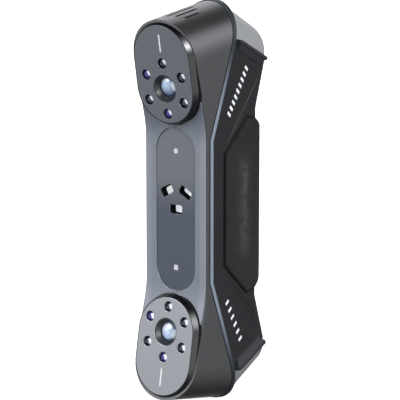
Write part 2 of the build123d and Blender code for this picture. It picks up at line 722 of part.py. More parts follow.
with BuildPart() as bottom_rear_cap:
    add(top_rear_cap.part.mirror(Plane.XY))
    add(cap_blocks.part)
    with BuildSketch(port_plane(PORT_FLOOR)):
        RectangleRounded(20, 8, 2)
    extrude(amount=5, mode=Mode.SUBTRACT)
    with BuildSketch(port_plane(PORT_BLOCK_BACK + 1)):
        RectangleRounded(PORT_W + 0.08, PORT_H + 0.08, PORT_H / 2)
        with Locations((-LOCK_X, 0), (LOCK_X, 0)):
            Circle(LOCK_R)
    extrude(amount=PORT_BLOCK_BACK, mode=Mode.SUBTRACT)
    with BuildSketch(front_plane(BACK_CAP)):
        with Locations((0, TRIPOD_Z)):
            Circle(TRIPOD_FLANGE_R + INSERT_FIT)
    extrude(amount=TRIPOD_FLANGE_T, mode=Mode.SUBTRACT)
    with BuildSketch(front_plane(BACK_CAP)):
        with Locations((0, TRIPOD_Z)):
            Circle(TRIPOD_R + INSERT_FIT)
    extrude(amount=TRIPOD_L, mode=Mode.SUBTRACT)
finish(bottom_rear_cap, "bottom_rear_cap")

with BuildPart() as tripod_insert:
    with BuildSketch(front_plane(BACK_CAP)):
        with Locations((0, TRIPOD_Z)):
            Circle(TRIPOD_FLANGE_R)
    extrude(amount=TRIPOD_FLANGE_T)
    with BuildSketch(front_plane(BACK_CAP)):
        with Locations((0, TRIPOD_Z)):
            Circle(TRIPOD_R)
    extrude(amount=TRIPOD_L)
    with BuildSketch(front_plane(BACK_CAP + 1)):
        with Locations((0, TRIPOD_Z)):
            Circle(TRIPOD_THREAD_R)
    extrude(amount=TRIPOD_L, mode=Mode.SUBTRACT)
finish(tripod_insert, "tripod_insert")

with BuildPart() as usb_port:
    with BuildSketch(port_plane(PORT_BLOCK_BACK)):
        RectangleRounded(PORT_W, PORT_H, PORT_H / 2 - 0.04)
    extrude(amount=PORT_BLOCK_BACK - PORT_FLOOR)
    with BuildSketch(port_plane(PORT_FLOOR + 4.8)):
        RectangleRounded(PORT_W - 0.7, PORT_H - 0.7, PORT_H / 2 - 0.4)
        Rectangle(6.7, 0.7, mode=Mode.SUBTRACT)
    extrude(amount=10, mode=Mode.SUBTRACT)
finish(usb_port, "usb_port")

with BuildPart() as port_board:
    with BuildSketch(port_plane(PORT_BLOCK_BACK + BOARD_T)):
        with Locations((0, PORT_BOARD_Y)):
            Rectangle(18, PORT_BOARD_H)
    extrude(amount=BOARD_T)
finish(port_board, "port_board")

# ================================================================ grip pad and rear controls
GRIP_CORNER = 12.6
GRIP_Z = 31.0                  # straight part of the front edge
GRIP_TOP_Z = 41.0              # where the pad ends on the back
PANEL_W = 15.0                 # control panel
PANEL_L = 50.0
PANEL_Z = 16.5
PANEL_T = 1.6
PANEL_FIT = 0.1
SKIRT = 1.0
BUTTON_PROUD = 0.7
BUTTON_FLANGE = 0.7            # flange keeping each button in the panel
FLANGE_T = 0.5
STEM_R = 2.5
SWITCH = 6.0                   # side of a switch
SWITCH_T = 1.2
PLUNGER_R = 1.6
STEM_END = 47.0                # depth of the stems' inner end
SWITCH_FRONT = 46.1            # depth of the switches' actuators


def grip_points():
    """Side-view outline of the grip pad: straight front edge, slanted ends."""
    depths = (GRIP_FRONT, GRIP_FRONT + 20, GRIP_BACK - 3.5, GRIP_BACK - 1.2, GRIP_BACK)
    heights = (GRIP_Z, GRIP_TOP_Z + 9, GRIP_TOP_Z + 6, GRIP_TOP_Z + 2, GRIP_TOP_Z - 4)
    upper = [(y(d), z) for d, z in zip(depths, heights)]
    return upper + [(yy, -z) for yy, z in upper[::-1]]


with BuildPart() as rear_grip:
    with BuildSketch(Plane.XY):
        plan_outline(GRIP_PROUD + WAIST_HALF - HEAD_HALF, GRIP_BACK, GRIP_CORNER)
    extrude(amount=70, both=True)
    side_slab(grip_points())
    add(rear_filled.part, mode=Mode.SUBTRACT)
    with BuildSketch(front_plane(GRIP_BACK)):
        with Locations((0, PANEL_Z)):
            SlotOverall(PANEL_L + 2 * PANEL_FIT, PANEL_W + 2 * PANEL_FIT, rotation=90)
    extrude(amount=10, mode=Mode.SUBTRACT)
finish(rear_grip, "rear_grip")

with BuildPart() as control_panel:
    with BuildSketch(front_plane(BACK_WAIST)):
        with Locations((0, PANEL_Z)):
            SlotOverall(PANEL_L, PANEL_W, rotation=90)
    extrude(amount=-(GRIP_BACK - BACK_WAIST))
    with BuildSketch(front_plane(BACK_WAIST)):
        with Locations((0, PANEL_Z)):
            SlotOverall(PANEL_L - 2 * SKIRT, PANEL_W - 2 * SKIRT, rotation=90)
    extrude(amount=-(GRIP_BACK - BACK_WAIST - PANEL_T), mode=Mode.SUBTRACT)
    with BuildSketch(front_plane(BACK_WAIST)):
        for spot_z, radius in BUTTON_SPOTS.values():
            with Locations((0, spot_z)):
                Circle(radius + BUTTON_FIT)
        with Locations((0, STATUS_Z)):
            Circle(STATUS_R + BUTTON_FIT)
    extrude(amount=-5, mode=Mode.SUBTRACT)
finish(control_panel, "control_panel")

for button_name, (spot_z, radius) in BUTTON_SPOTS.items():
    flange_back = GRIP_BACK - PANEL_T - 0.02
    with BuildPart() as button:
        with BuildSketch(front_plane(flange_back)):
            with Locations((0, spot_z)):
                Circle(radius)
        extrude(amount=-(GRIP_BACK + BUTTON_PROUD - flange_back))
        fillet(button.faces().sort_by(Axis.Y)[-1].edges(), 0.4)
        with BuildSketch(front_plane(flange_back)):
            with Locations((0, spot_z)):
                Circle(radius + BUTTON_FLANGE)
        extrude(amount=FLANGE_T)
        with BuildSketch(front_plane(flange_back)):
            with Locations((0, spot_z)):
                Circle(STEM_R)
        extrude(amount=flange_back - STEM_END)
    finish(button, f"{button_name}_button")

with BuildPart() as status_light:
    with BuildSketch(front_plane(BUTTON_BOARD_DEPTH)):
        with Locations((0, STATUS_Z)):
            Circle(STATUS_R)
    extrude(amount=-(GRIP_BACK - BUTTON_BOARD_DEPTH))
finish(status_light, "status_light")

with BuildPart() as button_board:
    with BuildSketch(front_plane(BUTTON_BOARD_DEPTH)):
        with Locations((0, PANEL_Z)):
            RectangleRounded(PANEL_W, PANEL_L - 4, 2)
    extrude(amount=1.0)
finish(button_board, "button_board")

with BuildPart() as button_switches:
    with BuildSketch(front_plane(BUTTON_BOARD_DEPTH)):
        for spot_z, radius in BUTTON_SPOTS.values():
            with Locations((0, spot_z)):
                Rectangle(SWITCH, SWITCH)
    extrude(amount=-SWITCH_T)
    with BuildSketch(front_plane(BUTTON_BOARD_DEPTH + SWITCH_T)):
        for spot_z, radius in BUTTON_SPOTS.values():
            with Locations((0, spot_z)):
                Circle(PLUNGER_R)
    extrude(amount=-(SWITCH_FRONT - BUTTON_BOARD_DEPTH - SWITCH_T))
finish(button_switches, "button_switches")

# ================================================================ chassis, boards and modules
SPINE_HALF = 18.5              # chassis half width
SPINE_Z = 58.0
BOARD_POST_X = 10.0            # main board screws
BOARD_POST_Z = 22.0
BOARD_FRONT = 23.5             # depth of the main board
BOARD_BACK = 25.1
BOARD_W = 34.0
BOARD_L = 100.0
SINK_BACK = 34.0               # depth of the heat sink's fin tips
SINK_W = 15.0
SINK_L = 30.0
SINK_BASE = 2.0
FIN_PITCH = 3.4
FIN_T = 1.2
FAN_SIZE = 25.0                # square 25 mm fan
FAN_SCREW = 10.0               # fan screws, from the fan's axis
FAN_FRONT = 28.0               # fan frame, behind the top camera plate
FAN_BACK = 35.0
FAN_BORE_R = 11.6
FAN_SHAFT_R = 0.75
CHIP_T = 1.0
BRACKET_FRONT = 8.4            # depth of the laser bracket's face
MODULE_R = 3.0                 # laser modules
MODULE_FRONT = 7.6             # depth of the laser modules and the colour camera's lens
CAMERA_FRONT = 11.0            # depth of the colour camera's housing


with BuildPart() as optical_chassis:
    with BuildSketch(front_plane(CHASSIS_BACK)):
        RectangleRounded(2 * SPINE_HALF, 2 * SPINE_Z, 3)
    extrude(amount=CHASSIS_BACK - CHASSIS_FRONT)
    for side in SIDES.values():
        with BuildSketch(head_plane(side, PAD_BACK)):
            RectangleRounded(2 * SPINE_HALF - 4, 28, 2)
        extrude(amount=PAD_BACK - PAD_FRONT)
    with BuildSketch(head_plane(1, FAN_FRONT)):
        grid_spots(FAN_SCREW, FAN_SCREW, 2.2)
    extrude(amount=FAN_FRONT - PAD_BACK)
    with BuildSketch(front_plane(BOARD_FRONT)):
        grid_spots(BOARD_POST_X, BOARD_POST_Z, 2.4)
    extrude(amount=BOARD_FRONT - CHASSIS_BACK)
    with BuildSketch(front_plane(BOARD_FRONT)):
        grid_spots(BOARD_POST_X, BOARD_POST_Z, SMALL_SCREW_R + HOLE_FIT)
        grid_spots(CASE_SCREW_X, CASE_SCREW_Z, SCREW_R + HOLE_FIT)
        grid_spots(POST_SCREW_X, POST_SCREW_Z, SCREW_R + HOLE_FIT)
    extrude(amount=12, mode=Mode.SUBTRACT)
    for side in SIDES.values():
        with BuildSketch(head_plane(side, PAD_BACK)):
            with Locations((-LEG_X, 0), (LEG_X, 0)):
                Circle(SCREW_R + HOLE_FIT)
        extrude(amount=5, mode=Mode.SUBTRACT)
    with BuildSketch(head_plane(1, FAN_FRONT)):
        grid_spots(FAN_SCREW, FAN_SCREW, SMALL_SCREW_R + HOLE_FIT)
    extrude(amount=2.2, mode=Mode.SUBTRACT)
finish(optical_chassis, "optical_chassis")

with BuildPart() as main_board:
    with BuildSketch(front_plane(BOARD_BACK)):
        RectangleRounded(BOARD_W, BOARD_L, 2)
        grid_spots(CASE_SCREW_X, CASE_SCREW_Z, BOSS_R + 0.4, Mode.SUBTRACT)
        grid_spots(BOARD_POST_X, BOARD_POST_Z, SMALL_SCREW_R + HOLE_FIT, Mode.SUBTRACT)
    extrude(amount=BOARD_BACK - BOARD_FRONT)
    with BuildSketch(front_plane(BOARD_BACK)):
        Rectangle(14, 14)
        with Locations((0, -30), (0, 32)):
            Rectangle(9, 7)
    extrude(amount=-CHIP_T)
finish(main_board, "main_board")

with BuildPart() as heatsink:
    with BuildSketch(front_plane(BOARD_BACK + CHIP_T)):
        Rectangle(SINK_W, SINK_L)
    extrude(amount=-SINK_BASE)
    with BuildSketch(front_plane(BOARD_BACK + CHIP_T + SINK_BASE)):
        with GridLocations(FIN_PITCH, 1, 5, 1):
            Rectangle(FIN_T, SINK_L)
    extrude(amount=-(SINK_BACK - BOARD_BACK - CHIP_T - SINK_BASE))
finish(heatsink, "heatsink")

with BuildPart() as laser_bracket:
    with BuildSketch(front_plane(BRACKET_FRONT)):
        with Locations((0, WINDOW_Z)):
            RectangleRounded(22, 9, 1)
        with Locations((-WINDOW_X, WINDOW_Z), (WINDOW_X, WINDOW_Z)):
            Circle(MODULE_R + 0.03, mode=Mode.SUBTRACT)
    extrude(amount=-(CHASSIS_FRONT - BRACKET_FRONT))
finish(laser_bracket, "laser_bracket")

with BuildPart() as laser_modules:
    with BuildSketch(front_plane(MODULE_FRONT)):
        with Locations((-WINDOW_X, WINDOW_Z), (WINDOW_X, WINDOW_Z)):
            Circle(MODULE_R)
    extrude(amount=-(CHASSIS_FRONT - MODULE_FRONT))
    with BuildSketch(front_plane(MODULE_FRONT)):
        with Locations((-WINDOW_X, WINDOW_Z), (WINDOW_X, WINDOW_Z)):
            Circle(1.8)
    extrude(amount=-1.5, mode=Mode.SUBTRACT)
finish(laser_modules, "laser_modules")

with BuildPart() as colour_camera_module:
    with BuildSketch(front_plane(CAMERA_FRONT)):
        RectangleRounded(9, 9, 0.8)
    extrude(amount=-(CHASSIS_FRONT - CAMERA_FRONT))
    with BuildSketch(front_plane(MODULE_FRONT)):
        Circle(2.9)
    extrude(amount=-(CAMERA_FRONT - MODULE_FRONT))
    with BuildSketch(front_plane(MODULE_FRONT)):
        Circle(1.5)
    extrude(amount=-1.2, mode=Mode.SUBTRACT)
finish(colour_camera_module, "colour_camera_module")

# ---------------------------------------------------------------- cooling fan
SPOKE_T = 1.0
HUB_R = 5.0
BLADES = 7
BLADE_R = 11.2
BLADE_ROOT = 0.4               # blades reach into the hub
BLADE_PITCH = 40.0
BLADE_CHORD = 6.0
BLADE_T = 0.8
ROTOR_FRONT = FAN_FRONT + SPOKE_T + 0.4
ROTOR_BACK = FAN_BACK - 0.4

with BuildPart() as fan_frame:
    with BuildSketch(head_plane(1, FAN_BACK)):
        RectangleRounded(FAN_SIZE, FAN_SIZE, 1.5)
        Circle(FAN_BORE_R, mode=Mode.SUBTRACT)
        grid_spots(FAN_SCREW, FAN_SCREW, SMALL_SCREW_R + HOLE_FIT, Mode.SUBTRACT)
    extrude(amount=FAN_BACK - FAN_FRONT)
    with BuildSketch(head_plane(1, FAN_FRONT + SPOKE_T)):
        Circle(HUB_R)
        for turn in (0, 60, 120):
            Rectangle(2 * FAN_BORE_R + 1, 1.4, rotation=turn)
    extrude(amount=SPOKE_T)
    with BuildSketch(head_plane(1, FAN_FRONT + SPOKE_T + 1)):
        Circle(FAN_SHAFT_R + 0.04)
    extrude(amount=SPOKE_T + 2, mode=Mode.SUBTRACT)
finish(fan_frame, "fan_frame")

with BuildPart() as fan_rotor:
    with BuildSketch(head_plane(1, ROTOR_BACK)):
        Circle(HUB_R)
    extrude(amount=ROTOR_BACK - ROTOR_FRONT)
    with BuildSketch(head_plane(1, ROTOR_FRONT)):
        Circle(FAN_SHAFT_R)
    extrude(amount=ROTOR_FRONT - FAN_FRONT - 0.1)
    blade_plane = head_plane(1, (ROTOR_FRONT + ROTOR_BACK) / 2)
    for i in range(BLADES):
        spoke = Rot(0, 0, i * 360 / BLADES) * Pos((HUB_R + BLADE_R) / 2 - BLADE_ROOT, 0, 0)
        with Locations(blade_plane.location * spoke * Rot(BLADE_PITCH, 0, 0)):
            Box(BLADE_R - HUB_R + BLADE_ROOT, BLADE_CHORD, BLADE_T)
finish(fan_rotor, "fan_rotor")


# ---------------------------------------------------------------- screws
def pan_screws(plane, spots, head_r, head_t, shank_r, length):
    """Pan-head screws whose heads sit on a plane, shanks running to its far side."""
    with BuildSketch(plane) as heads:
        with Locations(*spots):
            Circle(head_r)
    extrude(heads.sketch, amount=head_t)
    with BuildSketch(plane) as shanks:
        with Locations(*spots):
            Circle(shank_r)
    extrude(shanks.sketch, amount=-length)
    with BuildSketch(plane.offset(head_t)) as sockets:
        with Locations(*spots):
            RegularPolygon(0.5 * head_r, 6)
    extrude(sockets.sketch, amount=-0.6 * head_t, mode=Mode.SUBTRACT)


def back_plane(depth):
    """Plane facing backwards at a depth."""
    return Plane(origin=(0, y(depth), 0), x_dir=(-1, 0, 0), z_dir=(0, 1, 0))


def corner_spots(half_x, half_z):
    """Corners of a rectangle about the plane's origin."""
    return [(sx * half_x, sz * half_z) for sx in (-1, 1) for sz in (-1, 1)]


def rear_head_plane(side, back):
    """Plane across a head facing backwards, behind the camera plate."""
    plane = head_plane(side, back)
    return Plane(origin=plane.origin, x_dir=plane.x_dir, z_dir=-plane.z_dir)


with BuildPart() as case_screws:
    pan_screws(back_plane(CASE_HEAD_DEPTH), corner_spots(CASE_SCREW_X, CASE_SCREW_Z),
               CASE_HEAD_R, 2.0, SCREW_R, CASE_HEAD_DEPTH - CHASSIS_FRONT - 0.5)
finish(case_screws, "case_screws")

with BuildPart() as chassis_screws:
    pan_screws(back_plane(CHASSIS_BACK), corner_spots(POST_SCREW_X, POST_SCREW_Z),
               2.2, 1.6, SCREW_R, CHASSIS_BACK - CHASSIS_FRONT + POST_BORE - 0.8)
finish(chassis_screws, "chassis_screws")

with BuildPart() as board_screws:
    pan_screws(back_plane(BOARD_BACK), corner_spots(BOARD_POST_X, BOARD_POST_Z),
               1.9, 1.4, SMALL_SCREW_R, 6.0)
finish(board_screws, "board_screws")

with BuildPart() as camera_screws:
    for side in SIDES.values():
        pan_screws(rear_head_plane(side, PAD_BACK), [(-LEG_X, 0), (LEG_X, 0)],
                   2.2, 1.5, SCREW_R, 7.5)
finish(camera_screws, "camera_screws")

with BuildPart() as fan_screws:
    pan_screws(rear_head_plane(1, FAN_BACK), corner_spots(FAN_SCREW, FAN_SCREW),
               1.8, 1.2, SMALL_SCREW_R, FAN_BACK - FAN_FRONT + 1.6)
finish(fan_screws, "fan_screws")
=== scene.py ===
import json
import math
import bpy
from mathutils import Matrix, Vector


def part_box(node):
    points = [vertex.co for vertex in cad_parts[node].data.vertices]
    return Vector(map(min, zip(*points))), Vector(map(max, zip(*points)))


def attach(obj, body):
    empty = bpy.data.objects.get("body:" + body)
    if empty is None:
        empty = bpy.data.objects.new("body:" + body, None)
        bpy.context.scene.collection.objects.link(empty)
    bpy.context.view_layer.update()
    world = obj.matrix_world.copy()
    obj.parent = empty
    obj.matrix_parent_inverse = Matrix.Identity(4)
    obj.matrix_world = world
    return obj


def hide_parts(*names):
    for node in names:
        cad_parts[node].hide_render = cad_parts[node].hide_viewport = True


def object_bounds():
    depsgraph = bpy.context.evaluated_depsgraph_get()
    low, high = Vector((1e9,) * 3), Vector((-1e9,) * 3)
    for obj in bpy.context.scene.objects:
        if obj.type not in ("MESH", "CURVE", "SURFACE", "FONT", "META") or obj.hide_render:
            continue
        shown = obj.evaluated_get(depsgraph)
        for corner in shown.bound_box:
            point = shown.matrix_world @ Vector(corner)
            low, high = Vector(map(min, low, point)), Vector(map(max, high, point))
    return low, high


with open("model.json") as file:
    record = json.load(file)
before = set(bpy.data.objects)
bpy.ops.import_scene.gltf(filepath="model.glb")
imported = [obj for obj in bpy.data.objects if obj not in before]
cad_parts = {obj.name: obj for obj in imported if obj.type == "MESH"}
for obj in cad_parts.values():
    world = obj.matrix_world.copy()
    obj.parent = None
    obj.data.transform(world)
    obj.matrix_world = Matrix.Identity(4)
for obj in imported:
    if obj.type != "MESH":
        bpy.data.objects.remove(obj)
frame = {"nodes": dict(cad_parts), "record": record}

cad_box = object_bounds()
MM = 0.001
NODES = frame["nodes"]
SLOT_OF = {s["node"]: s["material_slot"] for s in frame["record"]["subparts"]}


# ---------------------------------------------------------------- node helpers
def new_material(name):
    m = bpy.data.materials.new(name)
    m.use_nodes = True
    return m, m.node_tree, m.node_tree.nodes["Principled BSDF"]


def node(tree, kind, **values):
    """Adds a shader node; i_Name sets the input called Name, other keys set attributes."""
    n = tree.nodes.new(kind)
    for key, value in values.items():
        if key.startswith("i_"):
            n.inputs[key[2:].replace("_", " ")].default_value = value
        else:
            setattr(n, key, value)
    return n


def link(tree, a, b):
    tree.links.new(a, b)


def math_node(tree, operation, a, b=None, clamp=False):
    n = node(tree, "ShaderNodeMath", operation=operation, use_clamp=clamp)
    for i, v in enumerate((a, b)):
        if v is None:
            continue
        if isinstance(v, (int, float)):
            n.inputs[i].default_value = v
        else:
            link(tree, v, n.inputs[i])
    return n.outputs[0]


def mix_colour(tree, factor, a, b):
    n = node(tree, "ShaderNodeMix", data_type="RGBA")
    for socket, v in ((n.inputs[0], factor), (n.inputs[6], a), (n.inputs[7], b)):
        if isinstance(v, (int, float)):
            socket.default_value = v
        elif isinstance(v, (tuple, list)):
            socket.default_value = (*v[:3], 1)
        else:
            link(tree, v, socket)
    return n.outputs[2]


def noise(tree, scale, detail=3.0, stretch=(1, 1, 1)):
    """Noise over object coordinates; scale is in features per metre."""
    coords = node(tree, "ShaderNodeTexCoord")
    mapping = node(tree, "ShaderNodeMapping")
    mapping.inputs["Scale"].default_value = stretch
    link(tree, coords.outputs["Object"], mapping.inputs["Vector"])
    n = node(tree, "ShaderNodeTexNoise", i_Scale=scale, i_Detail=detail)
    link(tree, mapping.outputs[0], n.inputs["Vector"])
    return n.outputs["Fac"]


def axis_value(tree, axis):
    """One object coordinate in metres; "|Z|" gives its size without the sign."""
    coords = node(tree, "ShaderNodeTexCoord")
    split = node(tree, "ShaderNodeSeparateXYZ")
    link(tree, coords.outputs["Object"], split.inputs[0])
    value = split.outputs["XYZ".index(axis.strip("|"))]
    return math_node(tree, "ABSOLUTE", value) if "|" in axis else value


def ramp(tree, value, low, high):
    """Maps a value from low..high to 0..1, smoothly."""
    n = node(tree, "ShaderNodeMapRange", interpolation_type="SMOOTHSTEP")
    link(tree, value, n.inputs[0])
    n.inputs[1].default_value, n.inputs[2].default_value = low, high
    return n.outputs[0]


def scaled(colour, k):
    return tuple(min(c * k, 1.0) for c in colour)


EDGE_WIDTH = 0.35 * MM         # reach of the edges lightened as wear and as painted highlight
EDGE_GAIN = 3.0
BLOTCH = 0.06                  # how far the slow colour drift goes either way
COAT_ROUGH = 0.05


def facing(tree, normal, toward):
    """How squarely a normal faces a fixed direction or another normal, 1 when it points the same way."""
    dot = node(tree, "ShaderNodeVectorMath", operation="DOT_PRODUCT")
    link(tree, normal, dot.inputs[0])
    if isinstance(toward, Vector):
        dot.inputs[1].default_value = toward.normalized()
    else:
        link(tree, toward, dot.inputs[1])
    return dot.outputs["Value"]


def worn_and_highlit_edges(tree, colour, base, edge_wear_and_highlight):
    """Lightens a colour in patches along the edges, as wear and as a painted highlight where the edges catch
    the light.
    """
    bevel = node(tree, "ShaderNodeBevel", samples=4, i_Radius=EDGE_WIDTH)
    turn = facing(tree, bevel.outputs[0], node(tree, "ShaderNodeNewGeometry").outputs["Normal"])
    edge = math_node(tree, "MULTIPLY", math_node(tree, "SUBTRACT", 1.0, turn), EDGE_GAIN, clamp=True)
    # patches along the edges: edge wear together with a painted highlight
    wear_and_highlight_mask = math_node(tree, "MULTIPLY", edge, ramp(tree, noise(tree, 400, 3.0), 0.35, 0.7))
    worn_and_highlit = tuple(c * 0.5 + 0.3 for c in base)
    return mix_colour(tree, math_node(tree, "MULTIPLY", wear_and_highlight_mask, edge_wear_and_highlight), colour, worn_and_highlit)


def uneven_roughness(tree, fine, rough, spread):
    """Roughness with slow smudges and a fine grit around a middle value."""
    smudge = math_node(tree, "MULTIPLY", math_node(tree, "SUBTRACT", noise(tree, 35, 3.0), 0.5), 2 * spread)
    grit = math_node(tree, "MULTIPLY", math_node(tree, "SUBTRACT", fine, 0.5), spread)
    return math_node(tree, "ADD", math_node(tree, "ADD", smudge, grit), rough, clamp=True)


def surface(name, base, rough, metal=0.0, grain=9000, grain_bump=0.02, grain_depth=0.00002, rough_spread=0.05,
            edge_wear_and_highlight=0.25, coat=0.0, stretch=(1, 1, 1), specular=0.5, tints=(), glow=0.0):
    """A painted or moulded surface: fine grain, slow colour drift, edges lightened as wear and as painted
    highlight, uneven roughness.

    Each tint is (axis, low, high, colour): the colour takes over between two coordinates in metres.
    """
    m, t, shader = new_material(name)
    colour = mix_colour(t, noise(t, 60, 2.0), scaled(base, 1 - BLOTCH), scaled(base, 1 + BLOTCH))
    for axis, low, high, other in tints:
        colour = mix_colour(t, ramp(t, axis_value(t, axis), low, high), colour, other)
    fine = noise(t, grain, 4.0, stretch)
    colour = mix_colour(t, math_node(t, "MULTIPLY", fine, 0.12), colour, scaled(base, 1.5))
    if edge_wear_and_highlight:
        colour = worn_and_highlit_edges(t, colour, base, edge_wear_and_highlight)
    link(t, colour, shader.inputs["Base Color"])
    link(t, uneven_roughness(t, fine, rough, rough_spread), shader.inputs["Roughness"])
    shader.inputs["Metallic"].default_value = metal
    shader.inputs["Specular IOR Level"].default_value = specular
    # painted light: lets a surface glow in its own colour
    if glow:
        link(t, colour, shader.inputs["Emission Color"])
        shader.inputs["Emission Strength"].default_value = glow
    if coat:
        shader.inputs["Coat Weight"].default_value = coat
        shader.inputs["Coat Roughness"].default_value = COAT_ROUGH
    if grain_bump:
        bump = node(t, "ShaderNodeBump", i_Strength=grain_bump, i_Distance=grain_depth)
        link(t, fine, bump.inputs["Height"])
        link(t, bump.outputs[0], shader.inputs["Normal"])
        if coat:
            link(t, bump.outputs[0], shader.inputs["Coat Normal"])
    return m


PANEL_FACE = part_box("centre_panel")[0][1]
# depths of the walls of the window wells, which the panel paints with shade
WELL_WALLS = (PANEL_FACE + 0.0003, PANEL_FACE + 0.0008)

# slot: colour, roughness, and what differs from a plain surface
FINISHES = {
    "graphite_shell": ((0.19, 0.192, 0.20), 0.21, dict(metal=0.9, grain=16000, grain_bump=0.12, edge_wear_and_highlight=0.3)),
    "blue_grey_bezel": ((0.215, 0.238, 0.28), 0.38,
                        dict(metal=0.5, grain=16000, grain_bump=0.25, edge_wear_and_highlight=0.35,
                             # painted light: the |X| tint is a painted highlight along both long edges, the Z
                             # tint painted shade, darker towards the top
                             tints=(("|X|", 0.0155, 0.0185, (0.265, 0.28, 0.33)),
                                    ("Z", 0.030, 0.058, (0.13, 0.15, 0.185))))),
    "panel_gloss": ((0.062, 0.075, 0.105), 0.26,
                    dict(metal=0.3, grain=12000, grain_bump=0.08, edge_wear_and_highlight=0.2, coat=0.25,
                         # painted reflection: the Z tint makes the panel lighter towards the top
                         tints=(("Z", -0.004, 0.022, (0.145, 0.155, 0.175)),
                                # painted shade: near black on the walls of the window wells
                                ("Y", *WELL_WALLS, (0.003, 0.003, 0.003))))),
    "camera_plate_grey": ((0.33, 0.34, 0.365), 0.3,
                          dict(metal=0.85, grain=14000, grain_bump=0.2, edge_wear_and_highlight=0.3,
                               # painted shade: the top plate, which faces slightly down, is darker and bluer
                               # than the bottom one
                               tints=(("Z", -0.02, 0.02, (0.148, 0.158, 0.182)),))),
    "gloss_black_rim": ((0.003, 0.003, 0.004), 0.09,
                        dict(grain=5000, grain_bump=0.02, edge_wear_and_highlight=0.0, rough_spread=0.03, specular=0.4)),
    "cap_grey": ((0.33, 0.334, 0.346), 0.36, dict(metal=0.5, grain=16000, grain_bump=0.3, edge_wear_and_highlight=0.3)),
    "seal_black": ((0.008, 0.008, 0.009), 0.6, dict(grain=8000, grain_bump=0.3, edge_wear_and_highlight=0.0, specular=0.2)),
    "band_blue": ((0.27, 0.32, 0.41), 0.34,
                  dict(metal=0.5, grain=14000, grain_bump=0.2, edge_wear_and_highlight=0.4,
                       # painted shade: the band darkens to near black towards the heads
                       tints=(("|Z|", 0.046, 0.090, (0.010, 0.011, 0.014)),))),
    "cover_black": ((0.015, 0.0155, 0.017), 0.5,
                    dict(grain=7000, grain_bump=0.5, grain_depth=0.00003, edge_wear_and_highlight=0.06, specular=0.14,
                         # painted highlight: the outermost faces of the cover, the rims of the lips, are
                         # lighter
                         tints=(("|X|", 0.0216, 0.0221, (0.030, 0.031, 0.034)),))),
    "grip_rubber": ((0.014, 0.014, 0.015), 0.48,
                    dict(grain=9000, grain_bump=0.4, grain_depth=0.00003, edge_wear_and_highlight=0.0, specular=0.4)),
    "control_gloss": ((0.010, 0.011, 0.013), 0.14, dict(grain=6000, grain_bump=0.04, edge_wear_and_highlight=0.1, coat=0.5)),
    "button_grey": ((0.11, 0.12, 0.14), 0.42, dict(grain=12000, grain_bump=0.4, edge_wear_and_highlight=0.3)),
    "barrel_black": ((0.022, 0.024, 0.027), 0.4, dict(grain_bump=0.2, edge_wear_and_highlight=0.2)),
    "module_black": ((0.02, 0.02, 0.022), 0.5, dict(grain=8000, grain_bump=0.4, edge_wear_and_highlight=0.2)),
    "chassis_aluminium": ((0.6, 0.61, 0.63), 0.35,
                          dict(metal=1.0, grain=6000, grain_bump=0.3, edge_wear_and_highlight=0.3, stretch=(1, 1, 12))),
    "circuit_board": ((0.015, 0.10, 0.05), 0.35, dict(grain=2500, grain_bump=0.4, edge_wear_and_highlight=0.0, coat=0.3)),
    "screw_steel": ((0.42, 0.42, 0.44), 0.3, dict(metal=1.0, grain_bump=0.2)),
    "insert_brass": ((0.62, 0.46, 0.2), 0.3, dict(metal=1.0, grain_bump=0.2)),
    "port_steel": ((0.5, 0.5, 0.52), 0.28, dict(metal=1.0, grain_bump=0.15)),
    "white_diffuser": ((0.60, 0.62, 0.65), 0.35, dict(grain=8000, grain_bump=0.1, edge_wear_and_highlight=0.0)),
    # painted light: the window panes glow, though they are no lamps
    "window_glass": ((0.85, 0.87, 0.90), 0.12,
                     dict(grain=3000, grain_bump=0.01, edge_wear_and_highlight=0.0, coat=1.0, glow=0.75)),
    "led_lens": ((0.012, 0.012, 0.04), 0.06, dict(grain=3000, grain_bump=0.01, edge_wear_and_highlight=0.0, coat=0.6)),
    "lens_glass": ((0.35, 0.5, 0.7), 0.08, dict(metal=0.6, grain=3000, grain_bump=0.01, edge_wear_and_highlight=0.0, coat=1.0)),
    "mark_white": ((0.82, 0.83, 0.85), 0.5, dict(grain_bump=0.1, edge_wear_and_highlight=0.0)),
}
MATERIALS = {slot: surface(slot, base, rough, **rest) for slot, (base, rough, rest) in FINISHES.items()}


def dull_wells(m):
    """Takes the sheen off the walls of the window wells, behind the panel's face."""
    t = m.node_tree
    shader = t.nodes["Principled BSDF"]
    behind = ramp(t, axis_value(t, "Y"), PANEL_FACE + 0.0003, PANEL_FACE + 0.0009)
    face = math_node(t, "SUBTRACT", 1.0, behind)
    for socket in ("Specular IOR Level", "Metallic", "Coat Weight"):
        link(t, math_node(t, "MULTIPLY", face, shader.inputs[socket].default_value), shader.inputs[socket])


dull_wells(MATERIALS["panel_gloss"])
for name, obj in NODES.items():
    obj.data.materials.clear()
    obj.data.materials.append(MATERIALS[SLOT_OF[name]])

# ---------------------------------------------------------------- rounded edges
EDGES = {"front_bezel": 0.22, "centre_panel": 0.15, "top_camera_plate": 0.15, "bottom_camera_plate": 0.15,
         "seam_band": 0.25, "rear_cover": 0.3, "top_rear_cap": 0.3, "bottom_rear_cap": 0.3,
         "front_shell": 0.3, "tripod_insert": 0.2, "usb_port": 0.1}


def soften(obj, width):
    """Rounds the hard edges of a CAD node for display."""
    weld = obj.modifiers.new("weld", "WELD")
    weld.merge_threshold = 0.001 * MM
    bevel = obj.modifiers.new("bevel", "BEVEL")
    bevel.width = width * MM
    bevel.segments = 2
    bevel.limit_method = "ANGLE"
    bevel.angle_limit = math.radians(35)
    obj.modifiers.new("normals", "WEIGHTED_NORMAL").keep_sharp = True


for name, width in EDGES.items():
    soften(NODES[name], width)

